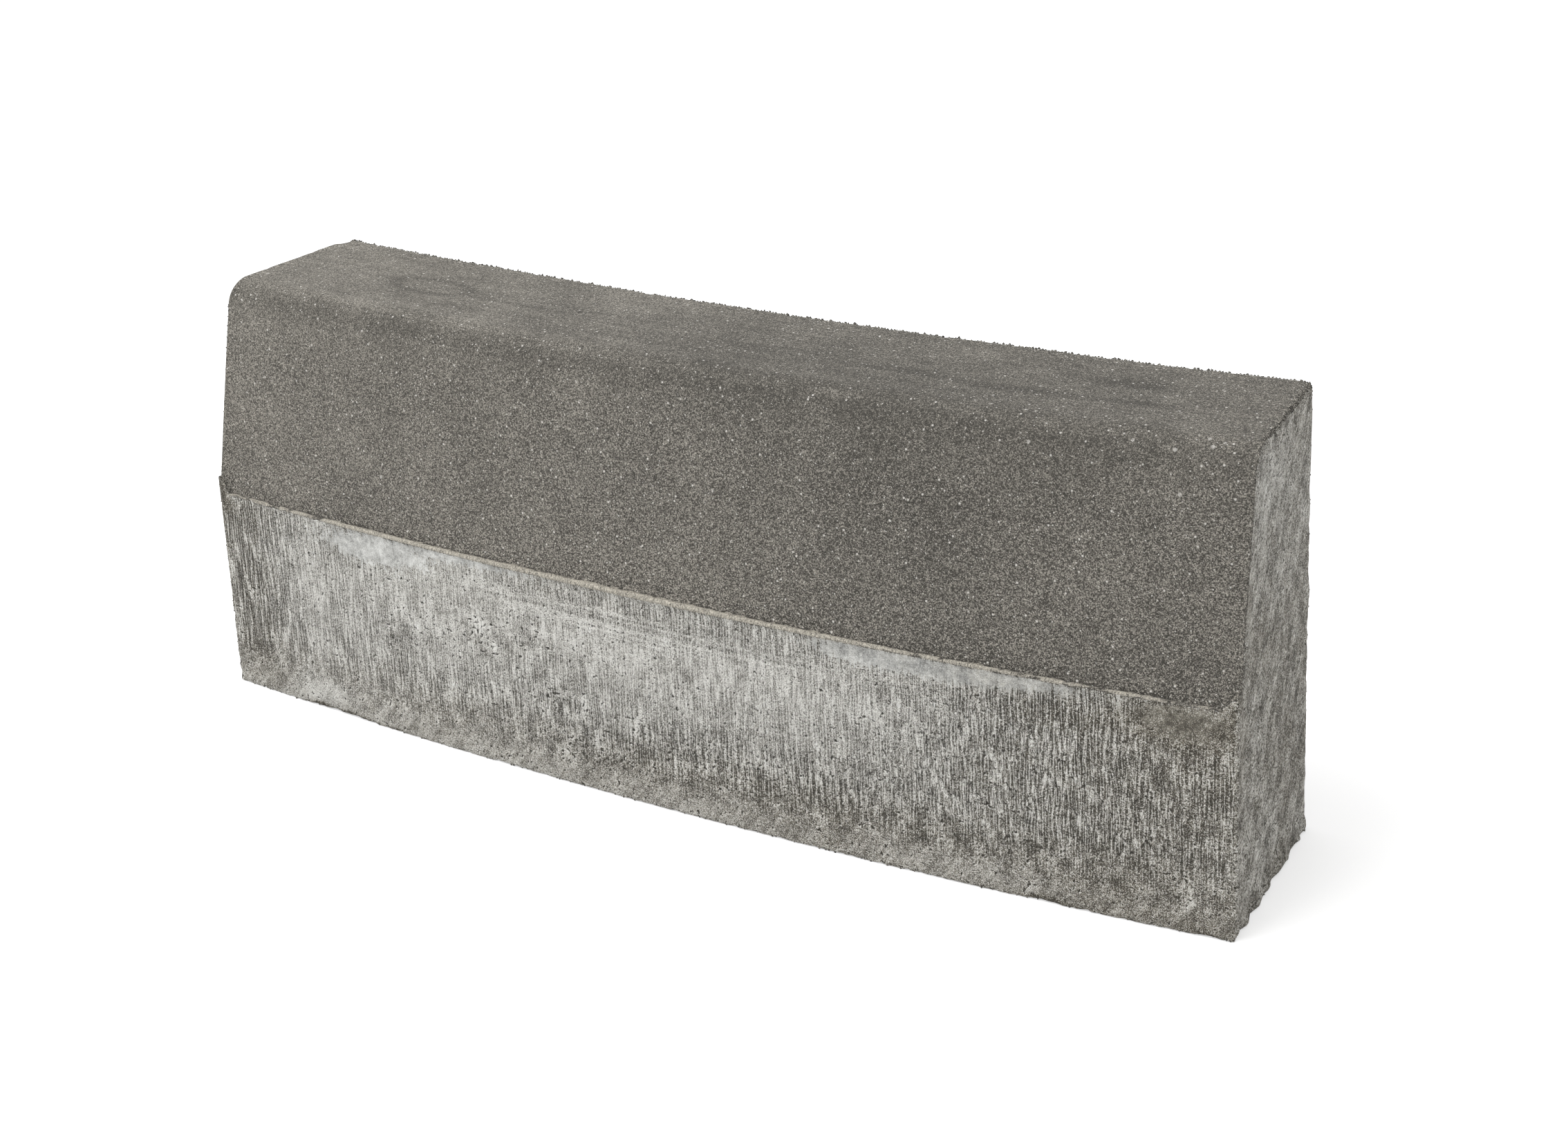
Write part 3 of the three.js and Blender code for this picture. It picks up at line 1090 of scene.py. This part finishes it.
def seen_directly(graph):
    """1 where the ray comes from the camera, a mirror or glass, and 0 where it only carries light."""
    rays = graph.tree.nodes.new("ShaderNodeLightPath")
    parts = ("Is Camera Ray", "Is Glossy Ray", "Is Transmission Ray")
    camera, glossy, glass = (Value(graph, rays.outputs[p]) for p in parts)
    return (camera + glossy + glass).clamped()


def floor_material():
    """White to the eye with the stone's shadow on it, and a mid grey to the light that bounces off it."""
    g = Graph(bpy.data.materials.new("floor"))
    bounce = g.node("ShaderNodeBsdfDiffuse", {}, {"Color": (*[BOUNCE_GREY] * 3, 1)})
    lit = g.node("ShaderNodeBsdfDiffuse", {}, {"Color": (*[LIT_GREY] * 3, 1)})
    glow = g.node("ShaderNodeEmission", {}, {"Color": (1, 1, 1, 1), "Strength": FLOOR_GLOW})
    white = g.node("ShaderNodeAddShader", {}, {0: lit, 1: glow})
    surface = g.node("ShaderNodeMixShader", {}, {0: seen_directly(g), 1: bounce, 2: white})
    g.node("ShaderNodeOutputMaterial", {}, {"Surface": surface})
    return g.owner


def add_floor():
    """A large floor just below the bed."""
    half = FLOOR_SIZE / 2
    corners = [(-half, -half), (half, -half), (half, half), (-half, half)]
    mesh = bpy.data.meshes.new("floor")
    mesh.from_pydata([(x, y, -FLOOR_DROP) for x, y in corners], [], [(0, 1, 2, 3)])
    floor = bpy.data.objects.new("floor", mesh)
    floor.data.materials.append(floor_material())
    bpy.context.scene.collection.objects.link(floor)


def add_sky(strength):
    """Even light from all round, and white where it is seen."""
    world = bpy.data.worlds.new("sky")
    bpy.context.scene.world = world
    g = Graph(world)
    level = seen_directly(g) * (1 - strength) + strength
    light = g.node("ShaderNodeBackground", {}, {"Color": (1, 1, 1, 1), "Strength": level})
    g.node("ShaderNodeOutputWorld", {}, {"Surface": light})


def add_lamp(name, place, target, size, power):
    """A square lamp that faces the target."""
    lamp = bpy.data.lights.new(name, "AREA")
    lamp.size = size
    lamp.energy = power
    holder = bpy.data.objects.new(name, lamp)
    holder.location = place
    holder.rotation_euler = (Vector(target) - Vector(place)).to_track_quat("-Z", "Y").to_euler()
    bpy.context.scene.collection.objects.link(holder)


def add_camera(studio):
    """The camera, turned, raised and leant as the settings say."""
    data = bpy.data.cameras.new("camera")
    data.lens = studio.lens
    data.sensor_width = SENSOR_WIDTH
    data.shift_x, data.shift_y = studio.shift
    data.clip_end = FAR_CLIP
    camera = bpy.data.objects.new("camera", data)
    level = Euler((math.pi / 2 - studio.elevation, 0, studio.azimuth)).to_matrix().to_4x4()
    camera.matrix_world = Matrix.Translation(studio.place) @ level @ Matrix.Rotation(studio.roll, 4, "Z")
    bpy.context.scene.collection.objects.link(camera)
    bpy.context.scene.camera = camera


# Operators -----------------------------


class KERB_OT_stone(Operator):
    """Make the kerb stone's fine surface and its finishes"""

    bl_idname = "kerb.stone"
    bl_label = "Kerb Stone"

    def execute(self, context):
        scene = context.scene
        stone = bpy.data.objects.new("pressed_kerb", kerb_mesh(scene.kerb_sizes, scene.kerb_wear))
        for finish in (pressed_face, stripped_face, bed_face):
            stone.data.materials.append(finish(scene.kerb_colours))
        scene.collection.objects.link(stone)
        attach(stone, "root")
        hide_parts(NODE)
        return {"FINISHED"}


class KERB_OT_stage(Operator):
    """Set the floor, the sky, the lamp and the camera"""

    bl_idname = "kerb.stage"
    bl_label = "Studio"

    def execute(self, context):
        studio = context.scene.kerb_studio
        context.scene.view_settings.view_transform = "Standard"
        add_floor()
        add_sky(studio.sky)
        add_lamp("key", LAMP_PLACE, LAMP_TARGET, LAMP_SIZE, studio.key)
        add_camera(studio)
        return {"FINISHED"}


class KERB_PT_panel(Panel):
    """The kerb's settings and the buttons that make it"""

    bl_idname = "KERB_PT_panel"
    bl_label = "Curved Concrete Kerb"
    bl_space_type = "VIEW_3D"
    bl_region_type = "UI"
    bl_category = "Kerb"

    def draw(self, context):
        for group in ("kerb_sizes", "kerb_wear", "kerb_colours", "kerb_studio"):
            settings = getattr(context.scene, group)
            box = self.layout.box()
            for name in settings.__annotations__:
                box.prop(settings, name)
        for operator in (KERB_OT_stone, KERB_OT_stage):
            self.layout.operator(operator.bl_idname)


GROUPS = {
    "kerb_sizes": KerbSizes,
    "kerb_wear": KerbWear,
    "kerb_colours": KerbColours,
    "kerb_studio": KerbStudio,
}
CLASSES = (*GROUPS.values(), KERB_OT_stone, KERB_OT_stage, KERB_PT_panel)


def register():
    for cls in CLASSES:
        bpy.utils.register_class(cls)
    for name, group in GROUPS.items():
        setattr(bpy.types.Scene, name, PointerProperty(type=group))


def unregister():
    for name in GROUPS:
        delattr(bpy.types.Scene, name)
    for cls in reversed(CLASSES):
        bpy.utils.unregister_class(cls)


def main():
    register()
    bpy.ops.kerb.stone()
    bpy.ops.kerb.stage()


if __name__ == "__main__":
    main()
